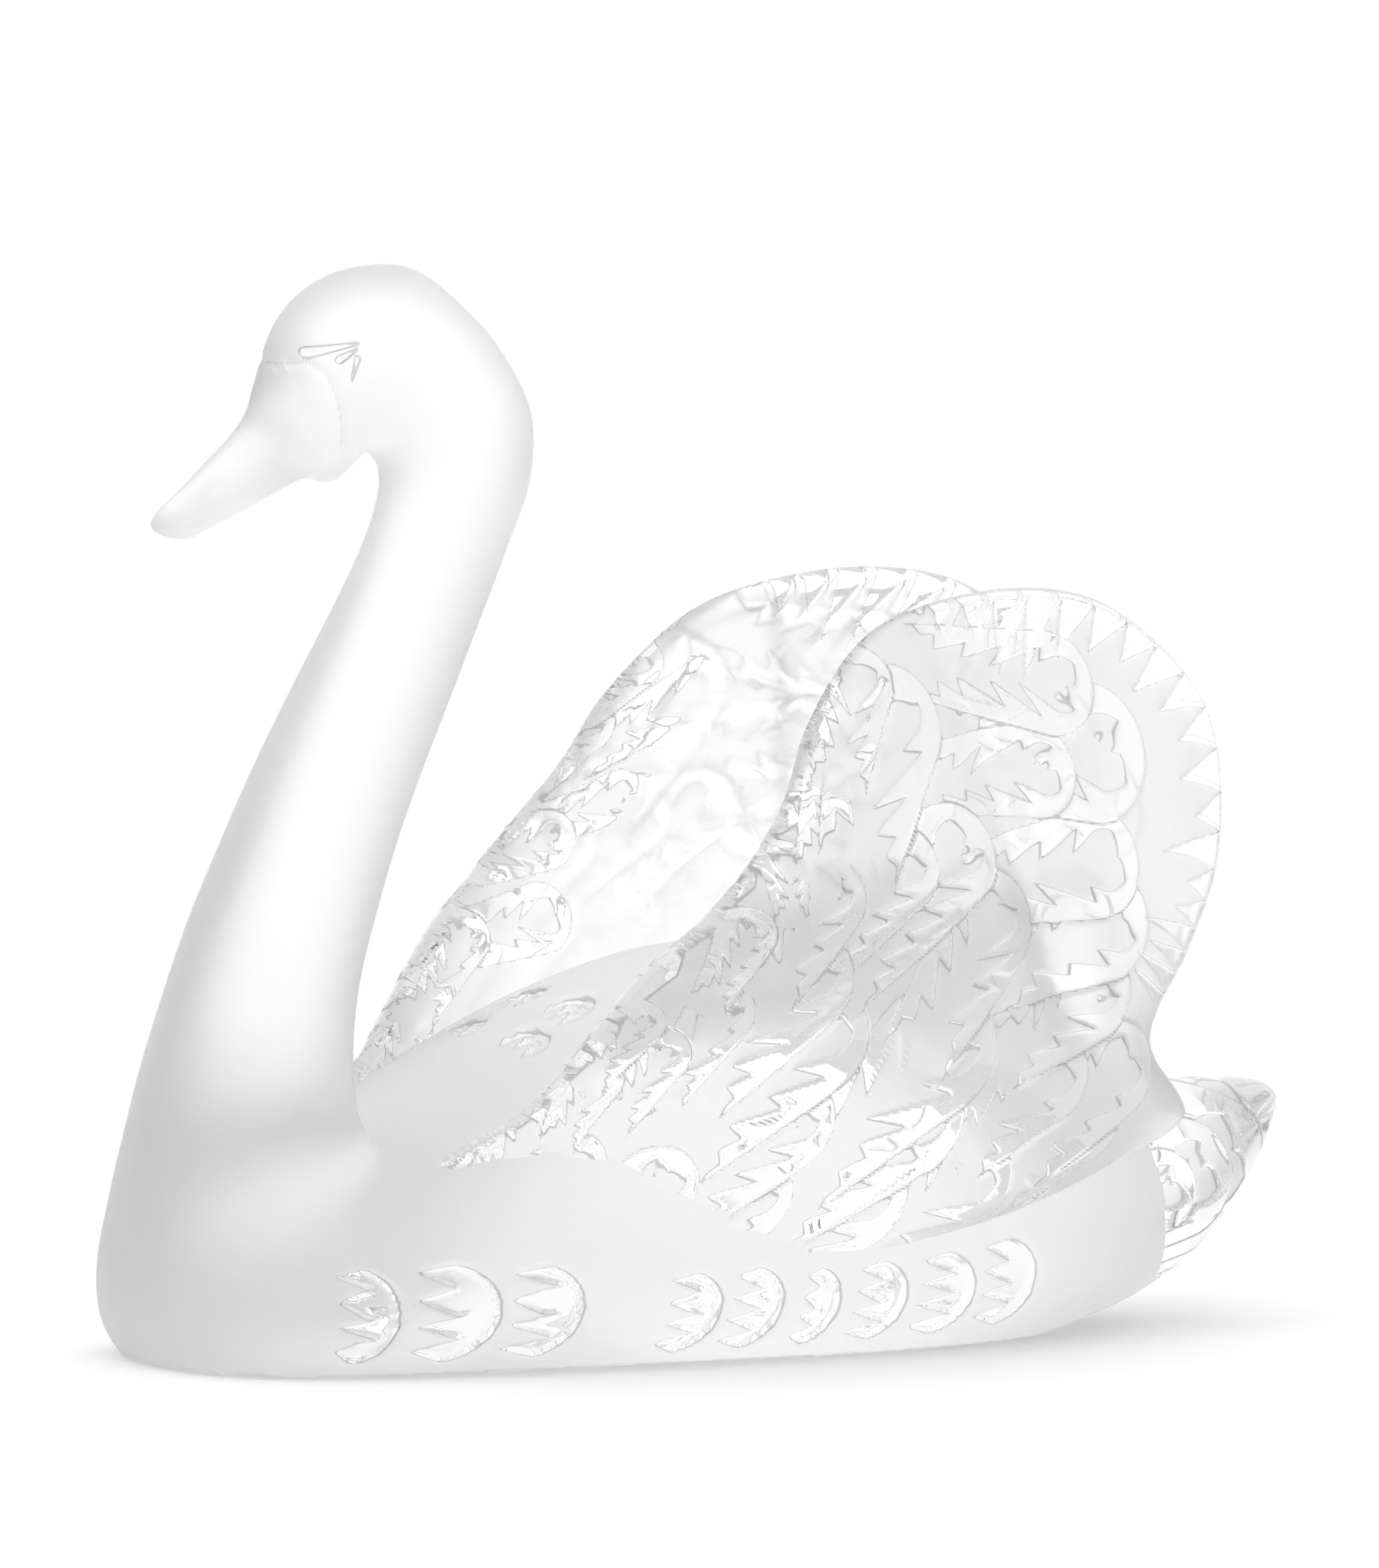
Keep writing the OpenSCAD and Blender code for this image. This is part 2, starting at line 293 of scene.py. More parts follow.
# %% Feathers of the outer wing
OUTER_FEATHERS = [
    # along the front edge, from the shoulder down
    [17, 158, 69, 18, 26], [10, 138, 65, 16, 26], [25, 153, 66, 27, 38],
    [-10, 117, 88, 11, 14], [-17, 102, 58, 12, 20], [-23, 86, 58, 15, 24],
    [-40, 82, 54, 10, 18], [-36, 76, 60, 13, 20], [-49, 70, 64, 11, 18],
    [-59, 58, 52, 14, 20], [-52, 53, 60, 15, 22], [-68, 47, 40, 12, 18],
    # coverts, from the top of the wing to the flank
    [3, 112, 55, 19, 28], [23, 117, 43, 20, 34], [38, 120, 42, 23, 42],
    [43, 108, 58, 25, 38], [-1, 96, 47, 25, 38], [3, 84, 42, 29, 42],
    [35, 80, 40, 31, 46], [-3, 63, 41, 24, 35], [29, 63, 35, 28, 44],
    [-11, 46, 42, 22, 30], [17, 45, 34, 27, 40], [43, 48, 34, 28, 42],
    [-33, 49, 55, 18, 26], [-31, 31, 38, 17, 22], [-18, 30, 32, 20, 28],
    [5, 26, 26, 22, 32], [31, 29, 27, 24, 34],
    # flight feathers, fanned from the valley to the rear edge
    [74, 146, -10, 23, 38], [65, 130, 2, 21, 34], [86, 132, -3, 31, 44],
    [79, 111, 8, 25, 36], [80, 99, 17, 25, 36], [73, 87, 30, 24, 32],
    [61, 69, 37, 22, 30], [80, 70, 38, 24, 34], [72, 60, 36, 22, 32],
    [55, 40, 36, 18, 28],
]
INNER_FEATHERS = [
    [27, 132, 24, 18, 32], [13, 119, 20, 13, 26], [-3, 109, 14, 14, 28],
    [-6, 92, 12, 16, 32], [42, 120, 37, 12, 44], [40, 109, 36, 11, 46],
    [34, 99, 36, 11, 46], [25, 91, 34, 11, 42], [33, 147, 30, 15, 36],
    [12, 152, 44, 13, 26], [2, 138, 48, 13, 26], [-12, 126, 52, 13, 26],
    [62, 150, 10, 18, 34], [74, 136, 0, 20, 36], [62, 118, 8, 18, 32],
    [84, 118, -4, 24, 36], [72, 98, 20, 22, 36], [-30, 92, 52, 12, 24],
    [-46, 72, 54, 11, 22],
]


def in_order(feathers):
    """Front feathers last: those nearer the shoulder lie on those nearer the tip."""
    return sorted(feathers, key=lambda f: f[1] - f[0])


def ripple(cell):
    """An even spread of values from 0 to 1, one for each whole number."""
    return np.mod(np.sin(cell * 12.9898) * 43758.5453, 1.0)


def feather_distance(x, z, feather):
    """Distance inside the outline, along the feather, across it, and its two lengths."""
    tip_x, tip_z, turn, width, length = feather
    a = math.radians(turn)
    tip_r, root_r = width / 2, width * 0.34
    reach = 1.3 * length - tip_r
    along = (x - tip_x) * math.cos(a) + (z - tip_z) * math.sin(a) + tip_r + reach
    across = -(x - tip_x) * math.sin(a) + (z - tip_z) * math.cos(a)
    side = np.abs(across)
    b = (root_r - tip_r) / reach
    c = math.sqrt(1 - b * b)
    flank = c * side + b * along - root_r
    at_tip = np.hypot(side, along - reach) - tip_r
    distance = np.where(c * along - b * side > c * reach, at_tip, flank)
    return -distance, along, across, reach, tip_r


def feather_cut(inside, along, across, reach, tip_r, seed):
    """How far a point lies inside the polished band of a feather, nicked into barbs."""
    beyond = along - reach
    turn = np.where(beyond > 0, np.arctan2(np.abs(across), beyond), math.pi / 2)
    run = tip_r * turn + np.clip(-beyond, 0, None)
    slant = 1.9 * np.sin(turn) ** 1.5
    phase = (run - slant * np.clip(inside, 0, tip_r)) / (0.8 * tip_r) + 0.5
    cell = np.floor(phase)
    share = phase - cell
    nick = np.where(share < 0.35, share / 0.35, (1 - share) / 0.65)
    which = cell + seed * 7.3 + np.where(across > 0, 31.7, 0.0)
    reach_in = 0.5 + 0.7 * ripple(which)
    taper = step_between(0.0, 0.5 * reach, along)
    depth = (0.9 + 0.24 * tip_r) + (0.7 + 0.42 * tip_r) * nick * reach_in
    return depth * taper - inside


def carve(x, z, feathers, rise=1.6, sink=0.6):
    """Height and polish, in millimetres, of layered feathers at each point."""
    height = np.zeros_like(x)
    polish = np.full_like(x, -2.0)
    for number, feather in enumerate(in_order(feathers)):
        inside, along, across, reach, tip_r = feather_distance(x, z, feather)
        near = (inside > -1.2) & (along > -0.5)
        if not near.any():
            continue
        i, a, c = inside[near], along[near], across[near]
        band = feather_cut(i, a, c, reach, tip_r, number)
        web = rise * (np.clip(a, 0, None) / (reach + tip_r)) ** 1.5
        web = web + 0.5 * (1 - np.clip(c / tip_r, -1, 1) ** 2)
        web = web - sink * step_between(-0.3, 0.9, band)
        blend = step_between(-0.5, 0.4, i) * step_between(0, 0.25 * reach, a)
        height[near] = height[near] * (1 - blend) + web * blend
        inner = np.minimum(band, i)
        outer = np.minimum(polish[near], -i)
        outer = np.where(a > 0.3 * reach, outer, polish[near])
        polish[near] = np.where(i > 0, inner, outer)
    return height, polish


print("feathers on a wing:", len(OUTER_FEATHERS), "outside,", len(INNER_FEATHERS), "inside")

# %% [markdown]
# The wing is a thick shell whose outline is seen from the side. Its sheet is a flat
# grid trimmed to that outline, cut along the groove between coverts and flight
# feathers, then copied to the outer and inner faces. The relief only moves vertices
# across the wing, so the pattern stays true on the side view.

# %% Wing outline and wall
WING_EDGE = [
    [34, 165], [58, 168.5], [80, 165.5], [97, 155], [108.5, 141], [110.5, 124],
    [105.3, 105], [94.6, 87], [84.2, 69], [96, 51], [77, 41], [55, 32], [36, 26.5],
    [15, 21], [-8, 17], [-30, 17.5], [-50, 22], [-58, 30], [-67, 39], [-80, 46],
    [-61.5, 59], [-39, 87], [-25, 101], [-7, 123], [2, 140], [17, 157],
]
WING_EYE, GROOVE_TOP, GROOVE_FOOT = [57, 72], [34, 165], [55, 32]
OUTER_Y = [
    [0, 54], [15, 62], [35, 71], [60, 77], [85, 79.5], [105, 76.5], [125, 68],
    [142, 60], [157, 53], [172, 46],
]
PLAN_SHARE = [
    [-90, 0.60], [-63, 0.74], [-39, 0.89], [-20, 0.97], [0, 1], [20, 1], [45, 0.97],
    [65, 0.92], [85, 0.82], [100, 0.73], [114, 0.62],
]
WALL_BY_HEIGHT = [
    [0, 24], [50, 40], [75, 34], [90, 25], [105, 17], [125, 13], [142, 11], [157, 10],
    [172, 8],
]
WALL_BY_PLACE = [
    [-90, 9], [-63, 15], [-39, 26], [-15, 40], [40, 40], [65, 26], [85, 14],
    [100, 10], [114, 9],
]
EDGE_ROUND = 8
edge_line = smooth_loop(WING_EDGE, 10)


def edge_place(x, z):
    """Distance to the wing's outline, nearest point on it, and whether inside."""
    a = edge_line
    b = np.roll(edge_line, -1, axis=0)
    away = np.full(len(x), 1e9)
    spot = np.zeros((len(x), 2))
    inside = np.zeros(len(x), bool)
    for (ax, az), (bx, bz) in zip(a, b):
        t = np.clip(((x - ax) * (bx - ax) + (z - az) * (bz - az))
                    / ((bx - ax) ** 2 + (bz - az) ** 2), 0, 1)
        px, pz = ax + t * (bx - ax), az + t * (bz - az)
        d = np.hypot(x - px, z - pz)
        nearer = d < away
        away = np.where(nearer, d, away)
        spot[nearer] = np.stack([px, pz], 1)[nearer]
        if az != bz:
            crosses = (az > z) != (bz > z)
            inside ^= crosses & (x < (bx - ax) * (z - az) / (bz - az) + ax)
    return away, spot, inside


def groove_distance(x, z):
    """Distance to the groove that parts the coverts from the flight feathers."""
    line = [[34, 165], [40, 148], [44, 128], [49, 104], [54, 86], [58, 70]]
    best = np.full(len(x), 1e9)
    for (ax, az), (bx, bz) in zip(line[:-1], line[1:]):
        t = np.clip(((x - ax) * (bx - ax) + (z - az) * (bz - az))
                    / ((bx - ax) ** 2 + (bz - az) ** 2), 0, 1)
        best = np.minimum(best, np.hypot(x - ax - t * (bx - ax), z - az - t * (bz - az)))
    return best


RIM_EYE, RIM_RADIUS, RIM_TOOTH = [52, 98], 70, 9.0


def rim_cut(x, z, away):
    """How far inside the polished rim, nicked like a feather's, and place in its tooth."""
    turn = np.arctan2(z - RIM_EYE[1], x - RIM_EYE[0])
    phase = turn * RIM_RADIUS / RIM_TOOTH - 0.07 * away
    cell = np.floor(phase)
    share = phase - cell
    nick = np.where(share < 0.3, share / 0.3, (1 - share) / 0.7)
    rear = step_between(30, 50, x) * step_between(70, 84, z)
    front = 1 - step_between(-10, 30, x)
    depth = rear * (1.8 + 16.0 * nick * (0.5 + 0.6 * ripple(cell)))
    depth = depth + front * (0.9 + 2.2 * nick * (0.3 + 0.9 * ripple(cell + 9)))
    return depth - away, share


# the inner face is polished only in front of this line, and along its upper rim
INNER_CUT_END = [[60, -22], [100, -2], [130, 14], [165, 26]]
INNER_RIM_LOW = 110
# polish this far below zero is satin, whatever else is near
NO_CUT = 9.0


def wing_wall(x, z):
    """The wing's outer y and its thickness, before any relief."""
    wall = (read(WALL_BY_HEIGHT, z) ** -4.0 + read(WALL_BY_PLACE, x) ** -4.0) ** -0.25
    return read(OUTER_Y, z) * read(PLAN_SHARE, x), wall


def wing_faces(x, z, away):
    """Outer and inner y of the wing, with their relief, and their polish."""
    outer, wall = wing_wall(x, z)
    inset = np.clip(away / EDGE_ROUND, 0, 1)
    swell = np.sqrt(1 - (1 - inset) ** 2)
    middle = outer - wall / 2
    out_h, out_p = carve(x, z, OUTER_FEATHERS)
    in_h, in_p = carve(x, z, INNER_FEATHERS, rise=0.7, sink=0.4)
    band, share = rim_cut(x, z, away)
    free = step_between(0.0, 0.4, -out_p)
    rim = (0.3 + 1.7 * share) * step_between(-0.3, 0.9, band)
    out_h = out_h - rim * step_between(0.4, 3.0, away)
    out_p = np.maximum(out_p, np.minimum(band, away + 0.5) * free)
    in_p = in_p - NO_CUT * step_between(0, 12, x - read(INNER_CUT_END, z))
    in_rim = np.minimum(band - 1.0, away + 0.5)
    in_p = np.where(z > INNER_RIM_LOW, np.maximum(in_p, in_rim), in_p)
    valley = np.exp(-((groove_distance(x, z) / 6.0) ** 2)) * step_between(66, 84, z)
    ease = step_between(0.3, 5.0, away)
    y_out = middle + swell * wall / 2 + ease * (out_h - 1.2 - 3.0 * valley)
    y_in = middle - swell * wall / 2 - ease * np.minimum(in_h - 0.8, wall * 0.2)
    return y_out, y_in, out_p, in_p


print("wing outline points", len(edge_line))

# %% [markdown]
# The sheet is trimmed by dropping the faces outside the outline and moving the loose
# edge onto it. Two straight cuts, groove foot to eye and eye to groove top, make sure
# that both lobes share the same vertices where they meet.

# %% The wing's sheet and its two lobes
SHEET_PITCH = 0.56


def wing_sheet():
    """Flat bmesh of one wing on the side view, x and z in plan millimetres."""
    lo, hi = edge_line.min(0) - 1, edge_line.max(0) + 1
    columns, rows = np.ceil((hi - lo) / SHEET_PITCH).astype(int)
    bm, column, row = grid(int(columns), int(rows))
    for vertex, c, r in zip(bm.verts, column, row):
        vertex.co = (lo[0] + c * SHEET_PITCH, 0, lo[1] + r * SHEET_PITCH)
    x = lo[0] + column * SHEET_PITCH
    z = lo[1] + row * SHEET_PITCH
    away, spot, inside = edge_place(x, z)
    keep = inside & (away > 0.2 * SHEET_PITCH)
    bm.verts.ensure_lookup_table()
    bmesh.ops.delete(bm, geom=[v for v, k in zip(list(bm.verts), keep) if not k],
                     context="VERTS")
    stray = [v for v in bm.verts if not v.link_faces]
    bmesh.ops.delete(bm, geom=stray, context="VERTS")
    rim = [v for v in bm.verts if v.is_boundary]
    _, spot, _ = edge_place(np.array([v.co.x for v in rim]), np.array([v.co.z for v in rim]))
    for vertex, (px, pz) in zip(rim, spot):
        vertex.co = (px, 0, pz)
    for end in (GROOVE_FOOT, GROOVE_TOP):
        along = Vector((end[0] - WING_EYE[0], 0, end[1] - WING_EYE[1]))
        half = [f for f in bm.faces
                if (f.calc_center_median().z - WING_EYE[1]) * along.z > 0]
        geom = set(half)
        for f in half:
            geom.update(f.edges)
            geom.update(f.verts)
        bmesh.ops.bisect_plane(bm, geom=list(geom), dist=1e-4,
                               plane_co=(WING_EYE[0], 0, WING_EYE[1]),
                               plane_no=Vector((along.z, 0, -along.x)))
    bmesh.ops.triangulate(bm, faces=bm.faces)
    return bm


def left_of_groove(x, z):
    """True on the coverts' side of the two cuts."""
    low_side = GROOVE_FOOT[0] + (z - GROOVE_FOOT[1]) * (
        (WING_EYE[0] - GROOVE_FOOT[0]) / (WING_EYE[1] - GROOVE_FOOT[1]))
    high_side = WING_EYE[0] + (z - WING_EYE[1]) * (
        (GROOVE_TOP[0] - WING_EYE[0]) / (GROOVE_TOP[1] - WING_EYE[1]))
    return x < np.where(z < WING_EYE[1], low_side, high_side)


sheet = wing_sheet()
flat = np.array([v.co[:] for v in sheet.verts])
sheet_away, _, _ = edge_place(flat[:, 0], flat[:, 2])
sheet_away[[v.index for v in sheet.verts if v.is_boundary]] = 0
sheet_out, sheet_in, _, _ = wing_faces(flat[:, 0], flat[:, 2], sheet_away)
sheet_tris = np.array([[v.index for v in f.verts] for f in sheet.faces])
centres = flat[sheet_tris].mean(1)
front_tris = left_of_groove(centres[:, 0], centres[:, 2])
sheet.free()
print("wing sheet triangles", len(sheet_tris), "in the coverts", int(front_tris.sum()))


def lobe(tris, side):
    """Closed bmesh of one lobe of a wing, on the +Y side for side 1."""
    used = np.unique(tris)
    bm = bmesh.new()
    outer = {i: bm.verts.new((flat[i, 0], side * sheet_out[i], flat[i, 2])) for i in used}
    inner = {
        i: outer[i] if sheet_away[i] == 0
        else bm.verts.new((flat[i, 0], side * sheet_in[i], flat[i, 2]))
        for i in used
    }
    edges = {}
    for tri in tris:
        bm.faces.new([outer[i] for i in tri])
        bm.faces.new([inner[i] for i in tri[::-1]])
        for a, b in zip(tri, np.roll(tri, -1)):
            edges[(a, b)] = edges.get((a, b), 0) + 1
    for a, b in edges:
        if (b, a) in edges or (sheet_away[a] == 0 and sheet_away[b] == 0):
            continue
        corners = [outer[b], outer[a], inner[a], inner[b]]
        ring = [v for n, v in enumerate(corners) if v not in corners[:n]]
        bm.faces.new(ring).material_index = JOIN
    bmesh.ops.recalc_face_normals(bm, faces=bm.faces)
    return bm


# %% [markdown]
# The trunk and the neck are blasted satin, with low marks cut along the flank by a
# flat wheel: each is a bright D, straight at the front and round behind, whose front
# edge is nicked into three or four fingers. Two pairs of the same marks lie on the
# back, laid out from above. All are cut square to the surface, along its normals.

# %% Marks on the trunk
FLANK_MARKS = [
    # [front x, rear x, low z, high z]
    [-108, -95, 3, 25], [-92, -73, 2.5, 26], [-71.5, -54, 2.5, 25.5],
    [-35, -21, 2.5, 22.5], [-19.5, -6, 2.5, 23], [-2, 8, 3, 22],
    [11, 25, 3, 23], [27, 43, 3.5, 24], [44, 60, 4.5, 26],
]
MANTLE_MARKS = [
    # [front x, rear x, low y, high y]
    [-53, -44, 8, 27], [-42, -31, 5, 22],
]
FLANK_INNER_Y, MANTLE_LOW_Z = 25, 50


def mark_cut(x, z, marks, fingers):
    """Distance inside the nearest D, and its share from front to rear."""
    best = np.full(len(x), -NO_CUT)
    slope = np.zeros(len(x))
    for number, (front, rear, low_z, high_z) in enumerate(marks):
        middle, half = (low_z + high_z) / 2, (high_z - low_z) / 2
        length = rear - front
        level = (z - middle) / half
        phase = (level + 1) / 2 * fingers
        cell = np.floor(phase)
        share = phase - cell
        tooth = np.where(share < 0.6, share / 0.6, (1 - share) / 0.4)
        reach = 0.35 + 0.4 * ripple(cell + 5 * number)
        start = front + length * reach * (1 - tooth)
        bow = np.clip(1 - np.abs(level) ** 2.2, 0, 1) ** 0.5
        finish = front + length * (0.25 + 0.75 * bow)
        within = np.minimum(np.minimum(x - start, finish - x), (1 - np.abs(level)) * half)
        slope = np.where(within > best, np.clip((x - front) / length, 0, 1), slope)
        best = np.maximum(best, within)
    return best, slope


def trunk_polish(x, y, z):
    """Polish on the trunk, in millimetres inside a cut."""
    flank, flank_slope = mark_cut(x, z, FLANK_MARKS, 4)
    mantle, mantle_slope = mark_cut(x, np.abs(y), MANTLE_MARKS, 3)
    flank = flank - NO_CUT * (np.abs(y) < FLANK_INNER_Y)
    mantle = mantle - NO_CUT * (z < MANTLE_LOW_Z)
    return np.maximum(flank, mantle), np.where(flank > mantle, flank_slope, mantle_slope)


TRUNK_AROUND = 300
trunk_bm = roll(trunk_rows, TRUNK_AROUND)
trunk_places = np.array([v.co[:] for v in trunk_bm.verts])
trunk_inside, trunk_slope = trunk_polish(*trunk_places.T)
MARK_SHALLOW, MARK_DEEPER = 0.4, 1.7
trunk_depth = step_between(-0.4, 1.1, trunk_inside) * (MARK_SHALLOW
                                                       + MARK_DEEPER * trunk_slope)
trunk_bm.normal_update()
for vertex, depth in zip(trunk_bm.verts, trunk_depth):
    if depth > 0:
        vertex.co -= vertex.normal * float(depth)
print("trunk triangles", sum(len(f.verts) - 2 for f in trunk_bm.faces))

# %% [markdown]
# The tail is the thick end of the block: a tube of sections like the trunk, cut on both
# sides with rings of feather barbs that run round its tip.

# %% The tail
TAIL_FEATHERS = [
    # one inside the next, tip to root, and a small one low down
    [140, 48, 24, 46, 50], [131, 43, 24, 36, 42], [121, 39, 24, 27, 36], [111, 35, 24, 19, 30],
    [127, 24, 40, 16, 26],
]


def tail_relief(x, z):
    """Height and polish of the tail's feathers, in millimetres."""
    return carve(x, z, TAIL_FEATHERS, rise=1.2, sink=0.7)


TAIL_PITCH, TAIL_AROUND, TAIL_SINK = 0.55, 300, 1.4
tail_rows = smooth_rows(TAIL, counts(TAIL, TAIL_PITCH))
tail_bm = roll(tail_rows, TAIL_AROUND)
tail_places = np.array([v.co[:] for v in tail_bm.verts])
tail_height, _ = tail_relief(tail_places[:, 0], tail_places[:, 2])
flatness = step_between(1.0, 9.0, np.abs(tail_places[:, 1]))
for vertex, rise, flat_share in zip(tail_bm.verts, tail_height, flatness):
    vertex.co.y += math.copysign((rise - TAIL_SINK) * flat_share, vertex.co.y)
print("tail triangles", sum(len(f.verts) - 2 for f in tail_bm.faces))

# %% [markdown]
# Satin crystal is a rough glass surface, and a polished cut is a smooth one on the same
# block, so one material mixes the two by an attribute that holds how far each point
# lies inside a cut. Light crosses a join between two parts with no change of speed.

# %% Shader maths with ordinary operators


def add_node(tree, kind, settings, sockets):
    """A new node: its settings first, then a value or a link for each socket."""
    node = tree.nodes.new(kind)
    for setting, choice in settings.items():
        setattr(node, setting, choice)
    for socket, item in sockets.items():
        if isinstance(item, Value):
            tree.links.new(item.socket, node.inputs[socket])
        elif isinstance(item, bpy.types.NodeSocket):
            tree.links.new(item, node.inputs[socket])
        else:
            node.inputs[socket].default_value = item
    return node


class Value:
    """A shader socket that adds, subtracts and multiplies like a number."""

    def __init__(self, tree, socket):
        self.tree, self.socket = tree, socket

    def math(self, operation, *items):
        """A Math node on the items, in their order."""
        node = add_node(self.tree, "ShaderNodeMath", {"operation": operation},
                        dict(enumerate(items)))
        return Value(self.tree, node.outputs[0])

    def __add__(self, other):
        return self.math("ADD", self, other)

    def __sub__(self, other):
        return self.math("SUBTRACT", self, other)

    def __rsub__(self, other):
        return self.math("SUBTRACT", other, self)

    def __mul__(self, other):
        return self.math("MULTIPLY", self, other)

    __radd__ = __add__
    __rmul__ = __mul__

    def __abs__(self):
        return self.math("ABSOLUTE", self)

    def between(self, low_edge, high_edge):
        """0 at low_edge and beyond it, 1 at high_edge, and smooth between."""
        node = add_node(self.tree, "ShaderNodeMapRange",
                        {"interpolation_type": "SMOOTHSTEP"},
                        {"From Min": low_edge, "From Max": high_edge, "Value": self})
        return Value(self.tree, node.outputs["Result"])


def noise(tree, size, detail):
    """Object-space noise, its size in grains per metre."""
    place = add_node(tree, "ShaderNodeTexCoord", {}, {})
    grains = add_node(tree, "ShaderNodeTexNoise", {},
                      {"Scale": size, "Detail": detail, "Vector": place.outputs["Object"]})
    return Value(tree, grains.outputs["Fac"])


# %% [markdown]
# The acid that makes satin doesn't bite evenly: its roughness drifts over a few
# millimetres, and a fine tooth shows close up. The thin grey line at the edge of a cut is
# painted shade: a darker tone just outside and inside that edge stands in for the shade
# that refraction gives at the cut's step.

# %% Satin, polished cuts and the inside of the block
LEAD_CRYSTAL_IOR = 1.55
CLEAR_ROUGHNESS = 0.015
# how far satin roughness drifts, and the size of the drift and of the tooth
ROUGHNESS_DRIFT, DRIFT_GRAINS, TOOTH_GRAINS = 0.12, 260, 2600
# the last of these is painted shade: how much darker the tone is along a cut's edge
SATIN_TONE, CLEAR_PAINTED_LIGHT, EDGE_PAINTED_SHADE = 0.925, 0.07, 0.6
CUT_STEP = 0.00018


def crystal(name, satin_roughness, tooth):
    """Lead crystal, satin where the polish attribute is below zero."""
    material = bpy.data.materials.new(name)
    material.use_nodes = True
    tree = material.node_tree
    shader = tree.nodes["Principled BSDF"]
    shader.inputs["Metallic"].default_value = 0
    shader.inputs["IOR"].default_value = LEAD_CRYSTAL_IOR
    shader.inputs["Transmission Weight"].default_value = 1
    attribute = add_node(tree, "ShaderNodeAttribute", {"attribute_name": "polish"}, {})
    polish = Value(tree, attribute.outputs["Fac"])
    bright = polish.between(0.02, 0.26)
    satin = satin_roughness + ROUGHNESS_DRIFT * (noise(tree, DRIFT_GRAINS, 3) - 0.5)
    rough = satin * (1 - bright) + CLEAR_ROUGHNESS * bright
    tree.links.new(rough.socket, shader.inputs["Roughness"])
    # painted shade: a darker tone on both sides of a cut's edge, for the shade that refraction
    # gives at the step
    line = polish.between(-0.22, 0.0) * (1 - polish.between(0.2, 0.42))
    # polished cuts are painted a lighter tone than satin: painted light for the bright room seen
    # through them
    tone = (SATIN_TONE + CLEAR_PAINTED_LIGHT * bright) * (1 - EDGE_PAINTED_SHADE * line)
    colour = add_node(tree, "ShaderNodeCombineColor", {}, {0: tone, 1: tone, 2: tone})
    tree.links.new(colour.outputs["Color"], shader.inputs["Base Color"])
    etch = noise(tree, TOOTH_GRAINS, 2) * (1 - bright)
    bump = add_node(tree, "ShaderNodeBump", {},
                    {"Strength": 1, "Distance": CUT_STEP, "Height": tooth * etch - bright})
    tree.links.new(bump.outputs["Normal"], shader.inputs["Normal"])
    return material


def join_material():
    """The inside of the block, where light crosses and nothing shows."""
    material = bpy.data.materials.new("inside_join")
    material.use_nodes = True
    tree = material.node_tree
    clear = add_node(tree, "ShaderNodeBsdfTransparent", {}, {})
    tree.links.new(clear.outputs["BSDF"], tree.nodes["Material Output"].inputs["Surface"])
    return material


satin_crystal = crystal("satin_glass", 0.5, 0.12)
cut_crystal = crystal("cut_glass", 0.45, 0.12)
inside_join = join_material()
print("materials", [m.name for m in (satin_crystal, cut_crystal, inside_join)])

# %% [markdown]
# Each lobe and the tail stop where they meet the trunk, so the trunk's own surface is
# taken out of them. The trunk stays whole: its outer skin is kept as it is, and the
# patches under the wings and the tail are the same patches that close those pieces,
# turned round, so the block has no gap and no double skin.

# %% Meshes, cuts and patches


def mesh_object(bm, name, skin, inner):
    """An object in frame metres, with the glass and the join in its two slots."""
    mesh = bpy.data.meshes.new(name)
    bm.to_mesh(mesh)
    bm.free()
    places = np.empty(len(mesh.vertices) * 3)
    mesh.vertices.foreach_get("co", places)
    mesh.vertices.foreach_set("co", to_frame(places.reshape(-1, 3)).ravel())
    mesh.materials.append(skin)
    mesh.materials.append(inner)
    mesh.update()
    obj = bpy.data.objects.new(name, mesh)
    bpy.context.scene.collection.objects.link(obj)
    return obj


def boolean(obj, cutters):
    """The object less the cutters. Faces left by cutter n get material 2 + n."""
    for cutter in cutters:
        step = obj.modifiers.new("cut", "BOOLEAN")
        step.operation = "DIFFERENCE"
        step.solver = "MANIFOLD"
        step.material_mode = "TRANSFER"
        step.object = cutter
    seen = bpy.context.evaluated_depsgraph_get()
    seen.update()
    mesh = bpy.data.meshes.new_from_object(obj.evaluated_get(seen))
    obj.modifiers.clear()
    return mesh


marker = bpy.data.materials.new("marker")
lobe_join = bpy.data.materials.new("lobe_join")
trunk_obj = mesh_object(trunk_bm, "trunk", satin_crystal, inside_join)
cutter_mesh = trunk_obj.data.copy()
cutter_mesh.materials.clear()
cutter_mesh.materials.append(marker)
cutter_mesh.polygons.foreach_set("material_index", [0] * len(cutter_mesh.polygons))
cutter = bpy.data.objects.new("trunk_cutter", cutter_mesh)
bpy.context.scene.collection.objects.link(cutter)

whole = {"tail": mesh_object(tail_bm, "tail_whole", cut_crystal, lobe_join)}
for side, word in ((-1, "left"), (1, "right")):
    for tris, part in ((sheet_tris[front_tris], "coverts"), (sheet_tris[~front_tris], "flight")):
        name = f"{word}_wing_{part}"
        whole[name] = mesh_object(lobe(tris, side), name + "_whole", cut_crystal, lobe_join)

cut_meshes = {}
for name, obj in whole.items():
    cut_meshes[name] = boolean(obj, [cutter])
    print(name, len(cut_meshes[name].polygons), "faces after the cut")
trunk_mesh = boolean(trunk_obj, list(whole.values()))
for obj in list(whole.values()) + [trunk_obj, cutter]:
    bpy.data.objects.remove(obj)


def faces_of(mesh, material):
    """Indices of the faces that wear a material."""
    index = [m.name if m else "" for m in mesh.materials].index(material.name)
    worn = np.empty(len(mesh.polygons), int)
    mesh.polygons.foreach_get("material_index", worn)
    return np.flatnonzero(worn == index)


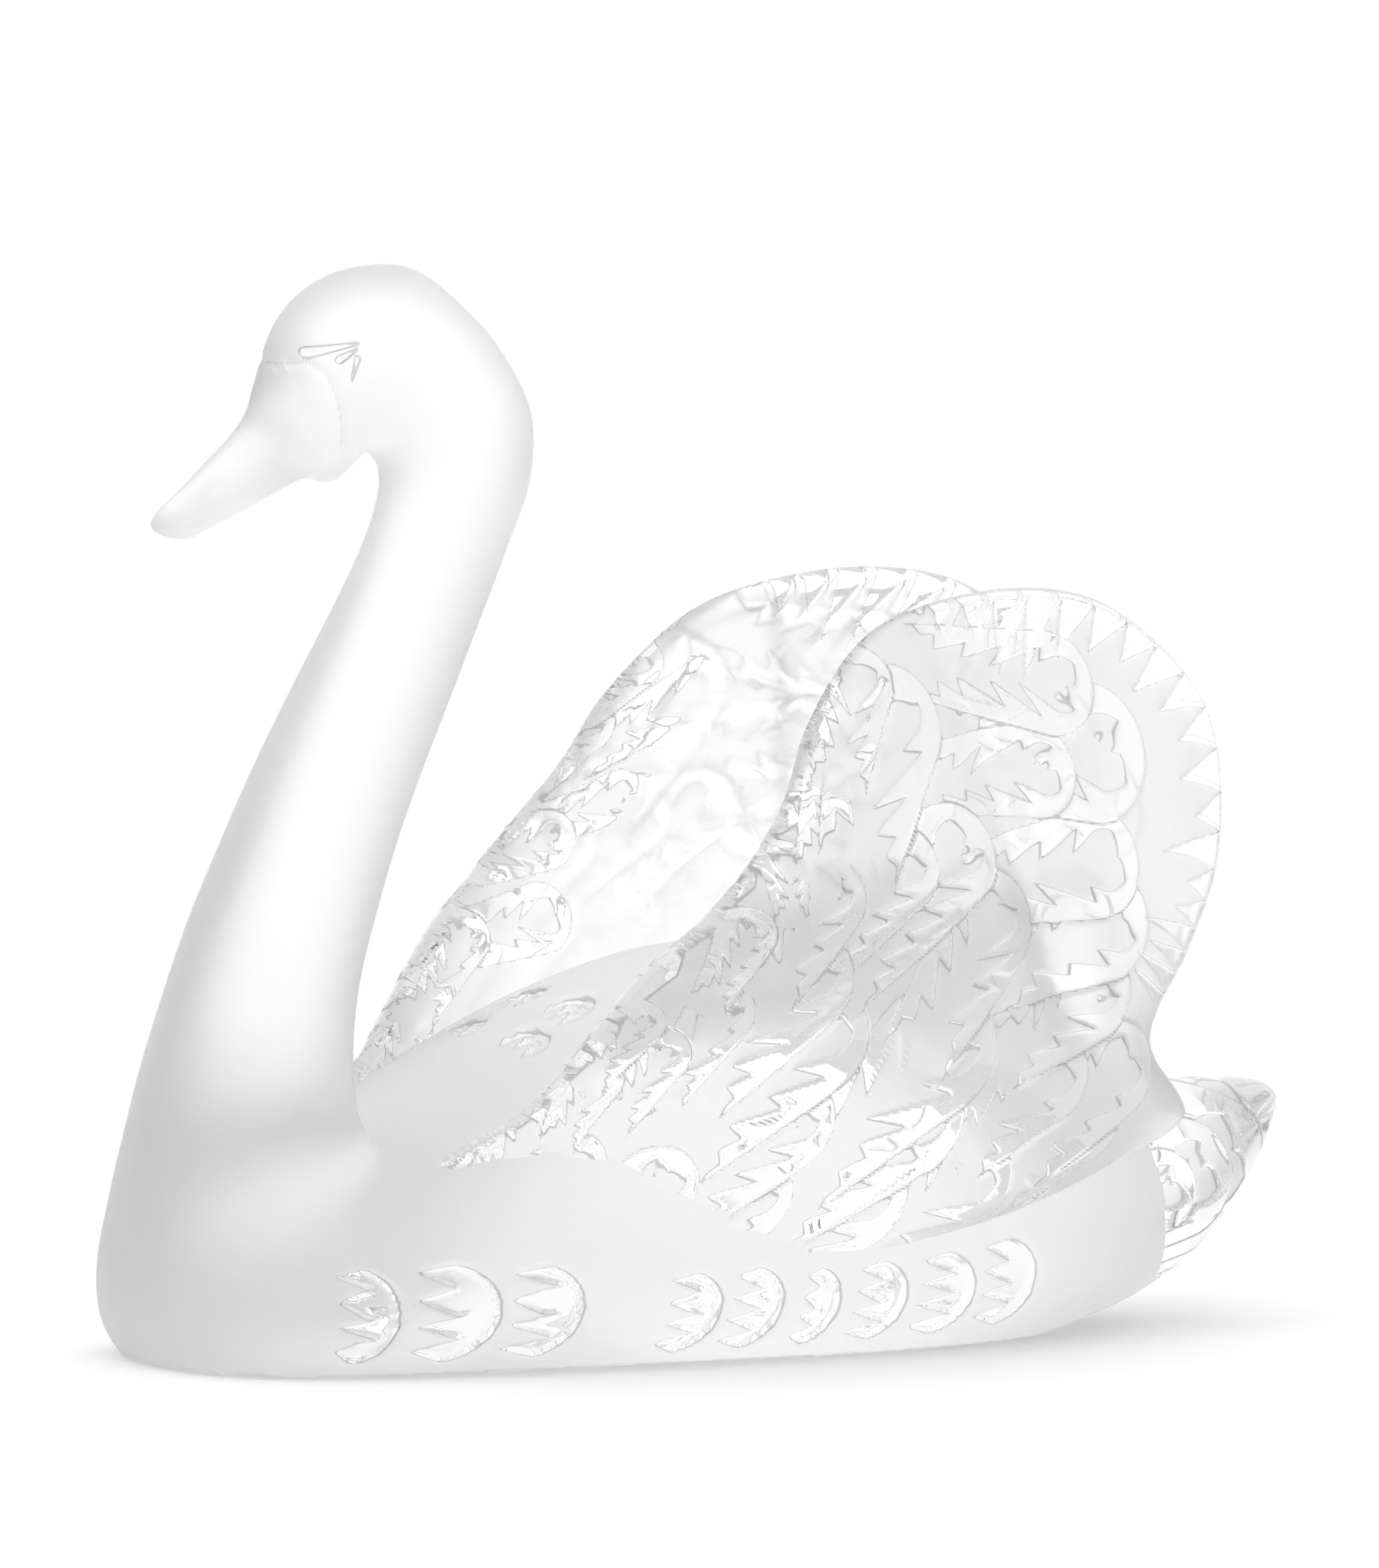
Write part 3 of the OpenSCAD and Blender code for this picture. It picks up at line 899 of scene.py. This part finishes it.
def add_faces(bm, mesh, faces, material_index, flip=False):
    """Copies some faces of a mesh into a bmesh."""
    made = {}
    for index in faces:
        corners = list(mesh.polygons[index].vertices)
        for v in corners:
            if v not in made:
                made[v] = bm.verts.new(mesh.vertices[v].co)
        ring = [made[v] for v in (corners[::-1] if flip else corners)]
        bm.faces.new(ring).material_index = material_index


body_bm = bmesh.new()
add_faces(body_bm, trunk_mesh, faces_of(trunk_mesh, satin_crystal), GLASS)
add_faces(body_bm, trunk_mesh, faces_of(trunk_mesh, inside_join), JOIN)
for mesh in cut_meshes.values():
    add_faces(body_bm, mesh, faces_of(mesh, marker), JOIN, flip=True)
bmesh.ops.remove_doubles(body_bm, verts=body_bm.verts, dist=2e-6)
print("body faces", len(body_bm.faces), "open edges",
      sum(e.is_boundary for e in body_bm.edges),
      "odd edges", sum(len(e.link_faces) > 2 for e in body_bm.edges))

# %% [markdown]
# The foot is sawn flat and its edge is ground to a small bevel, so the block doesn't
# chip when it is set down. Where the cut patches meet the skin, hair-thin slits are
# left, and they are filled last.

# %% The flat foot
everything = list(body_bm.verts) + list(body_bm.edges) + list(body_bm.faces)
bmesh.ops.bisect_plane(body_bm, geom=everything, dist=1e-6, plane_co=(0, 0, 0),
                       plane_no=(0, 0, -1), clear_outer=True)
FOOT_BEVEL, FOOT_RISE, ON_FLOOR = 0.0012, 0.0009, 2e-6
foot_edges = [e for e in body_bm.edges
              if e.is_boundary and all(abs(v.co.z) < ON_FLOOR for v in e.verts)]
foot = bmesh.ops.holes_fill(body_bm, edges=foot_edges, sides=0)
for face in foot["faces"]:
    face.material_index = GLASS
bmesh.ops.inset_region(body_bm, faces=foot["faces"], thickness=FOOT_BEVEL, depth=0)
rim = {v for f in body_bm.faces for v in f.verts if abs(v.co.z) < ON_FLOOR}
inner_ring = {v for f in foot["faces"] if f.is_valid for v in f.verts}
for vertex in rim - inner_ring:
    vertex.co.z = FOOT_RISE
bmesh.ops.triangulate(body_bm, faces=[f for f in body_bm.faces if len(f.verts) > 4])
slits = [e for e in body_bm.edges if e.is_boundary]
for face in bmesh.ops.holes_fill(body_bm, edges=slits, sides=0)["faces"]:
    face.material_index = JOIN
bmesh.ops.triangulate(body_bm, faces=[f for f in body_bm.faces if len(f.verts) > 4])
print("foot faces", len(foot["faces"]), "body faces", len(body_bm.faces), "slits closed",
      len(slits), "left", sum(e.is_boundary for e in body_bm.edges))

# %% [markdown]
# The neck, head and bill are blasted to an even satin. The only marks are the line
# round the root of the bill, the cuts of the lore in front of the eye, and a ring for
# the eye. They are narrow, so these parts have a finer grid than the trunk.

# %% Neck, head and bill
BILL_LINE = [[-104, 219.6], [-98.6, 220.8], [-95.5, 218], [-93.4, 213.2], [-91.9, 207.5],
             [-91, 202.5]]
LORE_CUTS = [
    # [x, z, x, z, radius, radius]
    [-98.4, 222.8, -88.2, 224.8, 1.25, 0.35],
    [-92.6, 221.2, -88.8, 223.4, 1.0, 0.35],
    [-90.2, 216.4, -88.7, 221.4, 0.25, 0.75],
]
EYE = [-84.3, 228.7]


def line_distance(x, z, a, b):
    """Distance to the line from a to b, and how far along it."""
    span = (b[0] - a[0]) ** 2 + (b[1] - a[1]) ** 2
    t = np.clip(((x - a[0]) * (b[0] - a[0]) + (z - a[1]) * (b[1] - a[1])) / span, 0, 1)
    return np.hypot(x - a[0] - t * (b[0] - a[0]), z - a[1] - t * (b[1] - a[1])), t


def head_cut(x, z):
    """Depth and polish of the head's marks, in millimetres."""
    polish = np.full(len(x), -2.0)
    depth = np.zeros(len(x))
    for a, b in zip(BILL_LINE[:-1], BILL_LINE[1:]):
        away, _ = line_distance(x, z, a, b)
        polish = np.maximum(polish, -0.08 - 0.3 * away)
        depth = np.maximum(depth, 0.55 * np.exp(-((away / 0.8) ** 2)))
    for ax, az, bx, bz, ra, rb in LORE_CUTS:
        away, t = line_distance(x, z, (ax, az), (bx, bz))
        inside = ra + (rb - ra) * t - away
        polish = np.maximum(polish, inside)
        depth = np.maximum(depth, 0.9 * step_between(-0.2, 0.9, inside))
    ring = np.abs(np.hypot(x - EYE[0], z - EYE[1]) - 1.5)
    depth = np.maximum(depth, 0.3 * np.exp(-((ring / 0.5) ** 2)))
    return depth, polish


def tube_piece(name, rows, around):
    """A piece of the tube run, with the head's marks where they fall on it."""
    bm = roll(rows, around)
    bm.normal_update()
    places = np.array([v.co[:] for v in bm.verts])
    depth, _ = head_cut(places[:, 0], places[:, 2])
    for vertex, cut in zip(bm.verts, depth):
        if cut > 0.01 and not any(f.material_index == JOIN for f in vertex.link_faces):
            vertex.co -= vertex.normal * float(cut)
    return mesh_object(bm, name, satin_crystal, inside_join)


neck = tube_piece("neck_glass", fine_rows[fine_neck_at:head_at + 1], 176)
head = tube_piece("head_glass", fine_rows[head_at:bill_at + 1], 256)
bill = tube_piece("bill_glass", fine_rows[bill_at:], 176)
bill.data.polygons.foreach_set(
    "material_index",
    [JOIN if f.material_index == JOIN and f.center.x > -0.115 else GLASS
     for f in bill.data.polygons])
print("neck, head and bill faces", [len(o.data.polygons) for o in (neck, head, bill)])

# %% [markdown]
# The polish attribute is written last, on the finished meshes, from the same functions
# that shaped them, so the bright bands end exactly where the relief does.

# %% Finished pieces and their polish


def finish_mesh(mesh, name):
    """An object from a cut mesh, with its join faces in the join's own slot."""
    is_skin = np.zeros(len(mesh.polygons), bool)
    is_skin[faces_of(mesh, cut_crystal)] = True
    mesh.materials.clear()
    mesh.materials.append(cut_crystal)
    mesh.materials.append(inside_join)
    mesh.polygons.foreach_set("material_index", np.where(is_skin, GLASS, JOIN))
    mesh.update()
    obj = bpy.data.objects.new(name, mesh)
    bpy.context.scene.collection.objects.link(obj)
    return obj


def plan_places(obj):
    places = np.empty(len(obj.data.vertices) * 3)
    obj.data.vertices.foreach_get("co", places)
    return to_plan(places.reshape(-1, 3)).T


def set_polish(obj, values):
    attribute = obj.data.attributes.new("polish", "FLOAT", "POINT")
    attribute.data.foreach_set("value", values.astype(np.float32))


def wing_polish(x, y, z):
    """Polish on either face of a wing, from the side of its middle that a point is on."""
    away, _, inside = edge_place(x, z)
    away = np.where(inside, away, 0)
    _, _, out_p, in_p = wing_faces(x, z, away)
    outer, wall = wing_wall(x, z)
    return np.where(np.abs(y) > outer - wall / 2, out_p, in_p)


def smooth_skin(obj):
    """Smooth shading, but sharp at steep corners and where skin meets a join."""
    obj.data.shade_smooth()
    obj.data.set_sharp_from_angle(angle=math.radians(80))
    worn = [set() for _ in obj.data.edges]
    for face in obj.data.polygons:
        for loop in face.loop_indices:
            worn[obj.data.loops[loop].edge_index].add(face.material_index)
    for edge, seen in zip(obj.data.edges, worn):
        if len(seen) > 1:
            edge.use_edge_sharp = True


def groove_cut_distance(x, z):
    """Distance to the two straight cuts between the lobes."""
    low, _ = line_distance(x, z, WING_EYE, GROOVE_FOOT)
    high, _ = line_distance(x, z, WING_EYE, GROOVE_TOP)
    return np.minimum(low, high)


def match_normals(obj):
    """Gives both lobes the same normals along their shared cut."""
    mesh = obj.data
    x, y, z = plan_places(obj)
    away, _, _ = edge_place(x, z)
    shared = np.flatnonzero((groove_cut_distance(x, z) < 0.02) & (away > 1.5))
    sx, sy, sz = x[shared], y[shared], z[shared]
    outer, wall = wing_wall(sx, sz)
    on_outer = np.abs(sy) > outer - wall / 2
    step = 0.25

    def face_y(px, pz):
        near, _, _ = edge_place(px, pz)
        y_out, y_in, _, _ = wing_faces(px, pz, near)
        return np.where(on_outer, y_out, y_in)

    slope_x = (face_y(sx + step, sz) - face_y(sx - step, sz)) / (2 * step)
    slope_z = (face_y(sx, sz + step) - face_y(sx, sz - step)) / (2 * step)
    side = np.sign(sy)
    facing = np.where(on_outer, 1.0, -1.0)
    normal = np.stack([-slope_x * facing, side * facing, -slope_z * facing], 1)
    normal /= np.linalg.norm(normal, axis=1)[:, None]
    wanted = dict(zip(shared.tolist(), normal))
    loops = np.zeros((len(mesh.loops), 3))
    for face in mesh.polygons:
        if face.material_index == GLASS:
            for loop in face.loop_indices:
                vertex = mesh.loops[loop].vertex_index
                if vertex in wanted:
                    loops[loop] = wanted[vertex]
    mesh.normals_split_custom_set(loops)


body_mesh = bpy.data.meshes.new("body_glass")
body_bm.to_mesh(body_mesh)
body_bm.free()
body_mesh.materials.append(satin_crystal)
body_mesh.materials.append(inside_join)
body = bpy.data.objects.new("body_glass", body_mesh)
bpy.context.scene.collection.objects.link(body)

pieces = {"body": body, "neck": neck, "head": head, "bill": bill}
for name, mesh in cut_meshes.items():
    pieces[name] = finish_mesh(mesh, name + "_glass")

for name, obj in pieces.items():
    x, y, z = plan_places(obj)
    if "wing" in name:
        set_polish(obj, wing_polish(x, y, z))
    elif name == "tail":
        _, polish = tail_relief(x, z)
        set_polish(obj, polish)
    elif name == "body":
        set_polish(obj, trunk_polish(x, y, z)[0])
    else:
        set_polish(obj, head_cut(x, z)[1])
    smooth_skin(obj)
    if "wing" in name:
        match_normals(obj)
    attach(obj, "root")
    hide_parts(name)
    print(name, "triangles", sum(len(f.vertices) - 2 for f in obj.data.polygons))

# %% [markdown]
# A product table: a pale floor that fades out into a white room, so that no horizon
# shows, and soft light from all sides. Clear glass on white has no edge of its own, so
# the light is a little weaker at the left and right and nearly dark in a card on each
# side, which gives the glass its outline, as dark cards do in a photographer's studio.

# %% Floor and room
AZIMUTH, ELEVATION, AWAY = math.radians(-24), math.radians(4.4), 4.0
FLOOR_HALF = 0.6
FLOOR_FADE_START, FLOOR_FADE_END = 0.2, 0.55
FLOOR_DROP = 0.0002
floor_bm = bmesh.new()
bmesh.ops.create_grid(floor_bm, x_segments=1, y_segments=1, size=FLOOR_HALF)
floor_mesh = bpy.data.meshes.new("floor")
floor_bm.to_mesh(floor_mesh)
floor_bm.free()
pale = bpy.data.materials.new("pale_floor")
pale.use_nodes = True
tree = pale.node_tree
pale_shader = tree.nodes["Principled BSDF"]
pale_shader.inputs["Base Color"].default_value = (0.95, 0.95, 0.95, 1)
pale_shader.inputs["Roughness"].default_value = 0.9
pale_shader.inputs["Specular IOR Level"].default_value = 0.1
place = add_node(tree, "ShaderNodeTexCoord", {}, {})
distance = add_node(tree, "ShaderNodeVectorMath", {"operation": "LENGTH"},
                    {0: place.outputs["Object"]})
fade = Value(tree, distance.outputs["Value"]).between(FLOOR_FADE_END, FLOOR_FADE_START)
tree.links.new(fade.socket, pale_shader.inputs["Alpha"])
floor_mesh.materials.append(pale)
floor = bpy.data.objects.new("floor", floor_mesh)
bpy.context.scene.collection.objects.link(floor)
floor.location.z = -FLOOR_DROP

scene = bpy.context.scene
world = bpy.data.worlds.new("studio")
world.use_nodes = True
scene.world = world
tree = world.node_tree
background = tree.nodes["Background"]
place = add_node(tree, "ShaderNodeTexCoord", {}, {})
parts = add_node(tree, "ShaderNodeSeparateXYZ", {}, {"Vector": place.outputs["Generated"]})
x_part, y_part, z_part = (Value(tree, parts.outputs[axis]) for axis in "XYZ")
across = abs(x_part * math.cos(AZIMUTH) + y_part * math.sin(AZIMUTH))
behind = x_part * -math.sin(AZIMUTH) + y_part * math.cos(AZIMUTH)
sides = across.between(0.4, 0.95)
overhead = z_part.between(0.3, 0.95)
underneath = z_part.between(0.1, -0.4)
level = 0.94 + 0.12 * behind.between(-0.5, 0.95)
strength = level * (1 - 0.32 * sides) + 0.4 * overhead + 0.3 * underneath
card = across.between(0.86, 0.9) * (1 - overhead)
strength = strength * (1 - 0.85 * card)
seen = add_node(tree, "ShaderNodeLightPath", {}, {})
seen_directly = Value(tree, seen.outputs["Is Camera Ray"])
strength = strength * (1 - seen_directly) + seen_directly
tree.links.new(strength.socket, background.inputs["Strength"])
background.inputs["Color"].default_value = (1, 1, 1, 1)
print("floor reaches", FLOOR_FADE_END, "m; room nodes", len(tree.nodes))

# %% [markdown]
# One soft lamp from the upper left front models the forms, and a long lens from four
# metres away keeps the outlines as true as a drawing's.

# %% Key light and camera
key = bpy.data.lights.new("key", "AREA")
key.shape = "RECTANGLE"
key.size, key.size_y = 1.2, 0.8
key.energy = 2.5
key_light = bpy.data.objects.new("key", key)
scene.collection.objects.link(key_light)
key_light.location = (-0.5, -0.7, 1.3)
aim = Vector((0, 0, 0.1)) - key_light.location
key_light.rotation_euler = aim.to_track_quat("-Z", "Y").to_euler()

camera_data = bpy.data.cameras.new("camera")
camera = bpy.data.objects.new("camera", camera_data)
scene.collection.objects.link(camera)
scene.camera = camera
target = Vector((-0.00328, -0.00264, 0.1242))
back = Vector((math.sin(AZIMUTH) * math.cos(ELEVATION),
               -math.cos(AZIMUTH) * math.cos(ELEVATION), math.sin(ELEVATION)))
camera.location = target + back * AWAY
camera.rotation_euler = (-back).to_track_quat("-Z", "Y").to_euler()
camera_data.sensor_width = 36
camera_data.lens = 412.8
camera_data.clip_start, camera_data.clip_end = 0.1, 100

scene.view_settings.view_transform = "Standard"
scene.view_settings.exposure = 0.0
scene.view_settings.gamma = 1.12
scene.cycles.max_bounces = 28
scene.cycles.transmission_bounces = 28
scene.cycles.glossy_bounces = 12
scene.cycles.transparent_max_bounces = 16
scene.cycles.use_denoising = True
